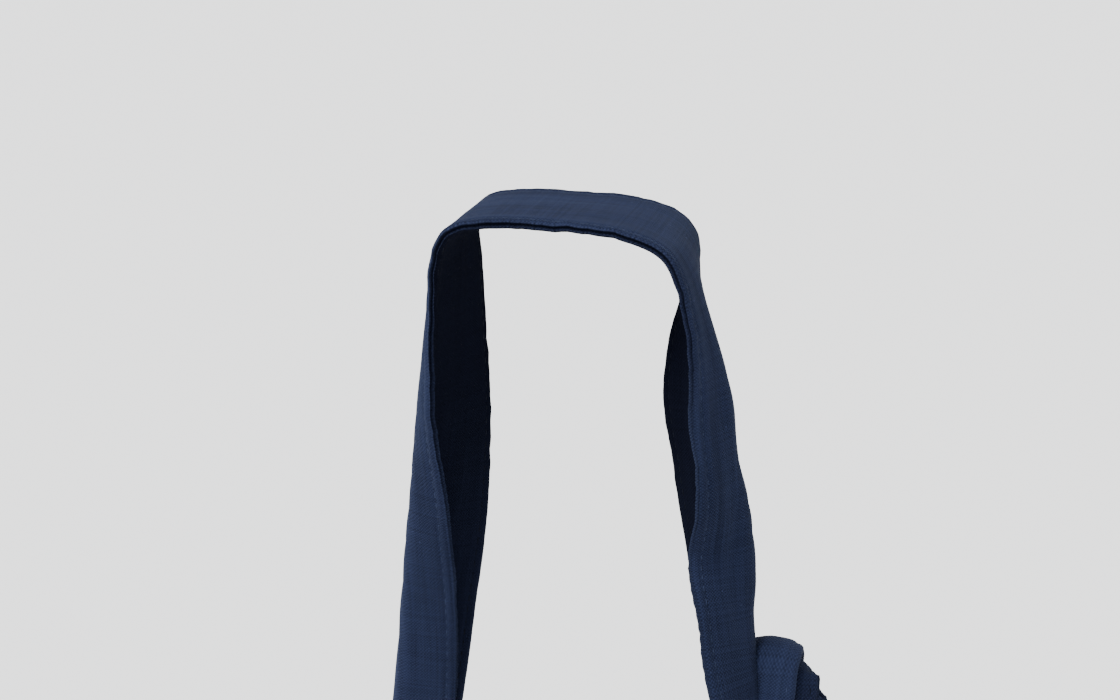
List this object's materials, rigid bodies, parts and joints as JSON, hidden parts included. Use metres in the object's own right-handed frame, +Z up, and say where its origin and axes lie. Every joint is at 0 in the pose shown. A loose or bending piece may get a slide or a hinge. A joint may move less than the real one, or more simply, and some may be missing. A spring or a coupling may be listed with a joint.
{
  "type": "sling bag",
  "caption": "Soft fabric sling bag hanging by a knotted shoulder strap, with a zipped top, lined body, and a front pocket under a snap flap.",
  "frame": {"origin": "under the top of the strap's loop, at the middle of its width, where a hook or peg bears", "axes": "+Z up, +X to the right as seen from the bag's front, -Y towards the viewer in front of the bag"},
  "size_m": [0.2041, 0.0711, 0.6629],
  "materials": {
    "navy_cloth": "matt woven",
    "lining_cloth": "matt woven",
    "zipper_tape": "matt woven",
    "brass": "antiqued, satin",
    "label_cloth": "woven tape"
  },
  "bodies": {
    "strap": {"strap_upper": "navy_cloth", "strap_knot": "navy_cloth", "strap_lower": "navy_cloth"},
    "bag": {"front_panel": "navy_cloth", "back_panel": "navy_cloth", "gusset": "navy_cloth", "piping_front": "navy_cloth", "piping_back": "navy_cloth", "lining_front": "lining_cloth", "lining_back": "lining_cloth", "lining_gusset": "lining_cloth", "inner_pocket": "lining_cloth", "front_pocket": "navy_cloth", "pocket_hem": "navy_cloth", "rivet_left": "brass", "rivet_right": "brass", "snap_stud": "brass", "side_label": "label_cloth", "strap_end_left": "navy_cloth", "strap_end_right": "navy_cloth", "zipper_tape_front": "zipper_tape", "zipper_tape_back": "zipper_tape", "zipper_teeth_front": "brass", "zipper_teeth_back": "brass", "zipper_start_stop": "brass", "zipper_end_stop_front": "brass", "zipper_end_stop_back": "brass"},
    "flap": {"pocket_flap": "navy_cloth", "snap_cap": "brass", "snap_socket": "brass"},
    "slider": {"zipper_slider": "brass"},
    "pull": {"zipper_pull": "brass"}
  },
  "joints": [
    {"name": "bag_swing", "type": "hinge", "parent": "strap", "child": "bag", "pos_m": [0.01, 0, -0.428], "axis": [1, 0, 0], "range_deg": [-30, 30]},
    {"name": "flap_hinge", "type": "hinge", "parent": "bag", "child": "flap", "pos_m": [0.01, -0.0299, -0.505], "axis": [-1, 0, 0], "range_deg": [0, 120]},
    {"name": "zip_slide", "type": "slide", "parent": "bag", "child": "slider", "axis": [-1, 0, 0], "range_m": [0, 0.1]},
    {"name": "pull_hinge", "type": "hinge", "parent": "slider", "child": "pull", "pos_m": [0.06, 0, -0.42995], "axis": [0, 1, 0], "range_deg": [0, 150]}
  ]
}
